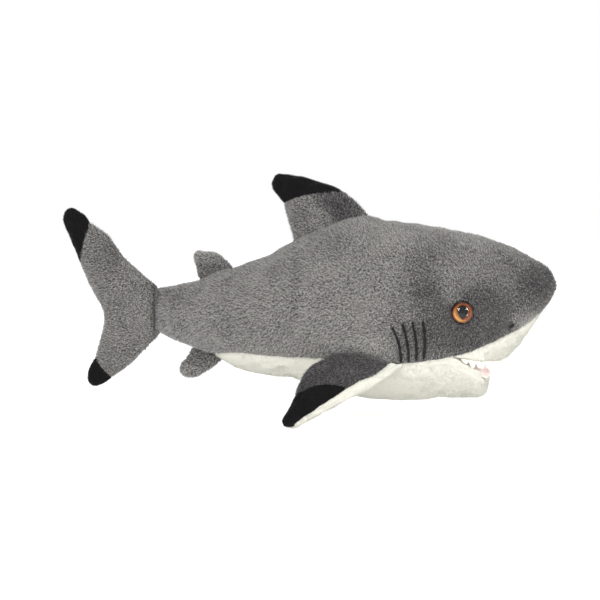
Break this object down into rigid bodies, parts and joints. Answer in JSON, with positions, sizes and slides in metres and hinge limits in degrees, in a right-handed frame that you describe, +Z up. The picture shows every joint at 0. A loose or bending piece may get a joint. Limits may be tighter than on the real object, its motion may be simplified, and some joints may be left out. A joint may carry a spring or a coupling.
{
  "type": "plush shark",
  "caption": "Stuffed reef shark with grey sides, white belly, black-tipped fins that flop on their sewn roots, plastic eyes, embroidered gills and felt teeth in an open mouth.",
  "frame": {"origin": "under the middle of the outline, on the surface that the pectoral fin tips rest on", "axes": "+X from tail to nose, +Y to the shark's left, +Z up"},
  "size_m": [0.3747, 0.1758, 0.1822],
  "materials": {
    "grey_plush": "short pile, mottled where the nap turns",
    "black_plush": "short pile",
    "white_plush": "short pile, warm white",
    "mouth_lining": "smooth thin cloth",
    "felt": "felt",
    "thread": "embroidery thread",
    "stuffing": "loose polyester fibre",
    "eye_clear": "clear and polished",
    "eye_amber": "polished",
    "eye_black": "polished",
    "eye_shank": "moulded",
    "eye_washer": "moulded"
  },
  "bodies": {
    "root": {"side_panel_left": "grey_plush", "side_panel_right": "grey_plush", "belly_panel": "white_plush", "snout_underside": "white_plush", "body_stuffing": "stuffing", "mouth_roof": "mouth_lining", "mouth_floor": "mouth_lining", "upper_teeth": "felt", "eye_dome_left": "eye_clear", "eye_iris_left": "eye_amber", "eye_pupil_left": "eye_black", "eye_shank_left": "eye_shank", "eye_washer_left": "eye_washer", "eye_dome_right": "eye_clear", "eye_iris_right": "eye_amber", "eye_pupil_right": "eye_black", "eye_shank_right": "eye_shank", "eye_washer_right": "eye_washer", "gill_stitches_left": "thread", "gill_stitches_right": "thread", "nostril_stitches_left": "thread", "nostril_stitches_right": "thread"},
    "tail": {"tail_fin_left": "grey_plush", "tail_fin_right": "grey_plush", "tail_upper_tip_left": "black_plush", "tail_upper_tip_right": "black_plush", "tail_lower_tip_left": "black_plush", "tail_lower_tip_right": "black_plush", "tail_stuffing": "stuffing", "tail_root_seam": "grey_plush"},
    "dorsal_fin": {"dorsal_fin_left": "grey_plush", "dorsal_fin_right": "grey_plush", "dorsal_tip_left": "black_plush", "dorsal_tip_right": "black_plush", "dorsal_stuffing": "stuffing", "dorsal_root_seam": "grey_plush"},
    "second_dorsal_fin": {"second_dorsal_left": "grey_plush", "second_dorsal_right": "grey_plush", "second_dorsal_stuffing": "stuffing", "second_dorsal_root_seam": "grey_plush"},
    "anal_fin": {"anal_fin_left": "grey_plush", "anal_fin_right": "grey_plush", "anal_fin_stuffing": "stuffing", "anal_fin_root_seam": "grey_plush"},
    "pectoral_fin_left": {"pectoral_top_left": "grey_plush", "pectoral_tip_left": "black_plush", "pectoral_underside_left": "white_plush", "pectoral_stuffing_left": "stuffing", "pectoral_root_seam_left": "grey_plush"},
    "pectoral_fin_right": {"pectoral_top_right": "grey_plush", "pectoral_tip_right": "black_plush", "pectoral_underside_right": "white_plush", "pectoral_stuffing_right": "stuffing", "pectoral_root_seam_right": "grey_plush"}
  },
  "joints": [
    {"name": "tail_sway", "type": "hinge", "parent": "root", "child": "tail", "pos_m": [-0.11675, 0, 0.08015], "axis": [-0.0744, 0, 0.9972], "range_deg": [-30, 30], "stiffness_Nm_per_rad": 0.3},
    {"name": "dorsal_fin_flop", "type": "hinge", "parent": "root", "child": "dorsal_fin", "pos_m": [0.0145, 0, 0.14815], "axis": [0.9305, 0, 0.3663], "range_deg": [-35, 35], "stiffness_Nm_per_rad": 0.1},
    {"name": "second_dorsal_fin_flop", "type": "hinge", "parent": "root", "child": "second_dorsal_fin", "pos_m": [-0.0745, 0, 0.1108], "axis": [0.9395, 0, 0.3426], "range_deg": [-35, 35], "stiffness_Nm_per_rad": 0.05},
    {"name": "anal_fin_flop", "type": "hinge", "parent": "root", "child": "anal_fin", "pos_m": [-0.08275, 0, 0.04605], "axis": [0.9444, 0, -0.3288], "range_deg": [-35, 35], "stiffness_Nm_per_rad": 0.05},
    {"name": "pectoral_left_flap", "type": "hinge", "parent": "root", "child": "pectoral_fin_left", "pos_m": [0.046, 0.0525, 0.0437], "axis": [0.9875, 0.0839, -0.1333], "range_deg": [-15, 50], "stiffness_Nm_per_rad": 0.8},
    {"name": "pectoral_right_flap", "type": "hinge", "parent": "root", "child": "pectoral_fin_right", "pos_m": [0.046, -0.0525, 0.0437], "axis": [-0.9875, 0.0839, 0.1333], "range_deg": [-15, 50], "stiffness_Nm_per_rad": 0.8}
  ]
}
